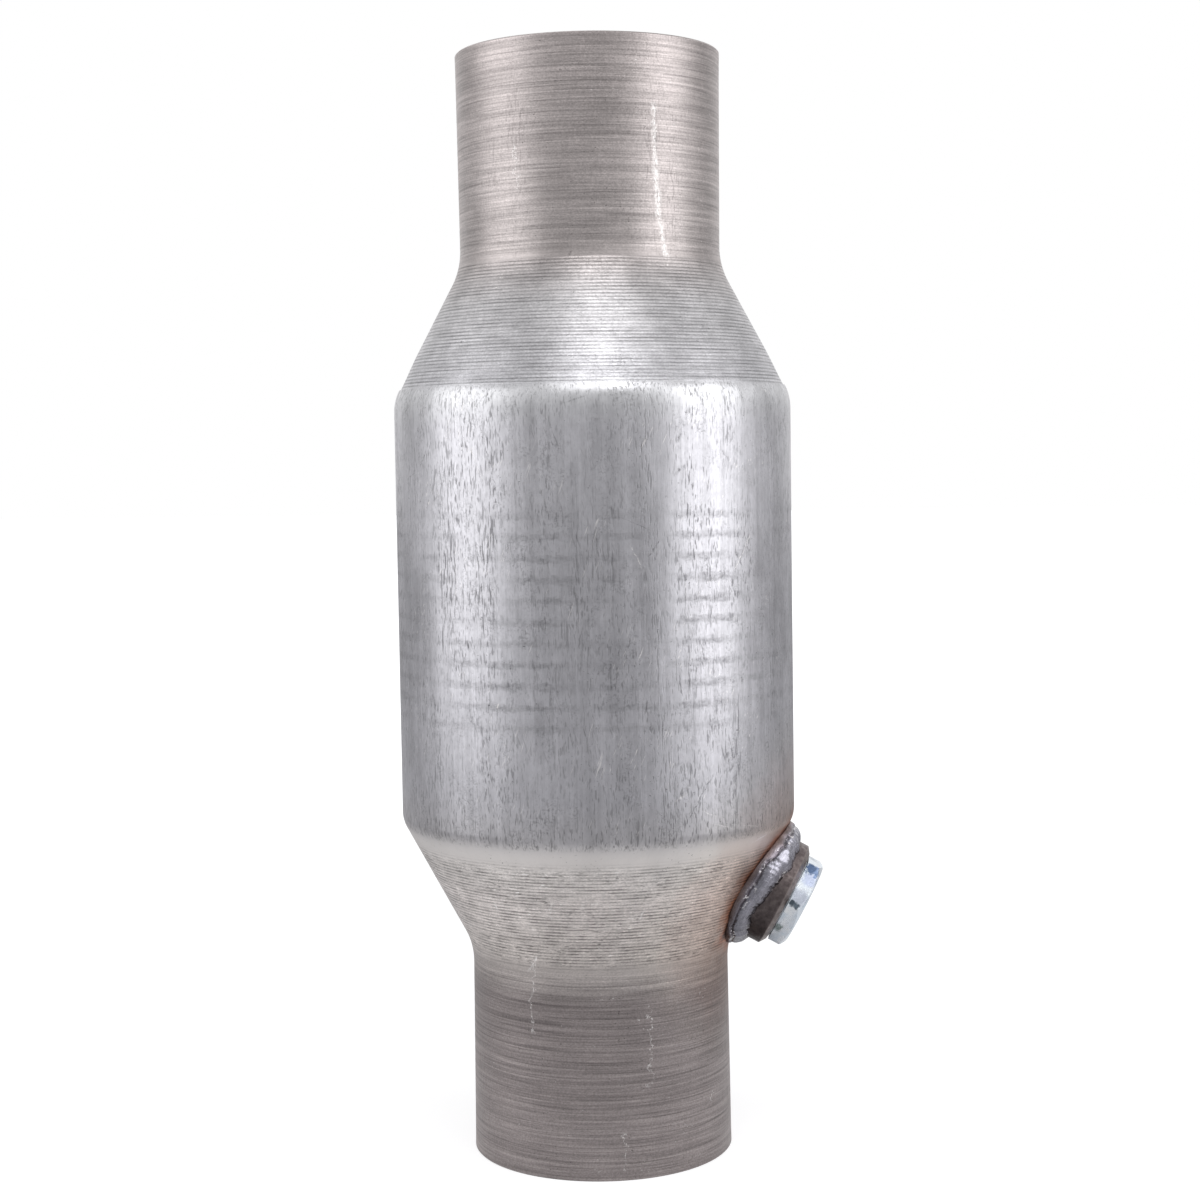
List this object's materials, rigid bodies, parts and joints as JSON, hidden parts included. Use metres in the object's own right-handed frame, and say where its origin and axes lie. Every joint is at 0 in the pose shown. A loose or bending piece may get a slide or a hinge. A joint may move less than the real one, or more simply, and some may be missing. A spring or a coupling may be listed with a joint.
{
  "type": "catalytic converter",
  "caption": "Round catalytic converter: a steel shell spun down to two pipe necks round a ceramic honeycomb, with a plugged sensor port welded into one cone.",
  "frame": {"origin": "centre of the lower neck's rim, on the body's axis", "axes": "+Z along the body's axis from the lower neck to the upper one; +X towards the sensor port, whose own axis lies in the XZ plane and points 28 degrees below +X"},
  "size_m": [0.1087, 0.1016, 0.2809],
  "materials": {
    "stainless_shell": "stainless steel, spun and left bare, satin with turning lines",
    "cordierite_brick": "unglazed ceramic honeycomb with a pale tan washcoat",
    "fibre_mat": "pressed ceramic fibre mat",
    "knitted_wire": "knitted and pressed stainless wire",
    "scaled_steel": "turned steel darkened by the heat of welding",
    "weld_metal": "as welded bead with ripples and small glossy spots",
    "zinc_plate": "bright bluish zinc plate"
  },
  "bodies": {
    "root": {"spun_shell": "stainless_shell", "catalyst_brick": "cordierite_brick", "support_mat": "fibre_mat", "lower_seal_ring": "knitted_wire", "upper_seal_ring": "knitted_wire", "sensor_bung": "scaled_steel", "bung_weld": "weld_metal", "port_plug": "zinc_plate"}
  },
  "joints": []
}
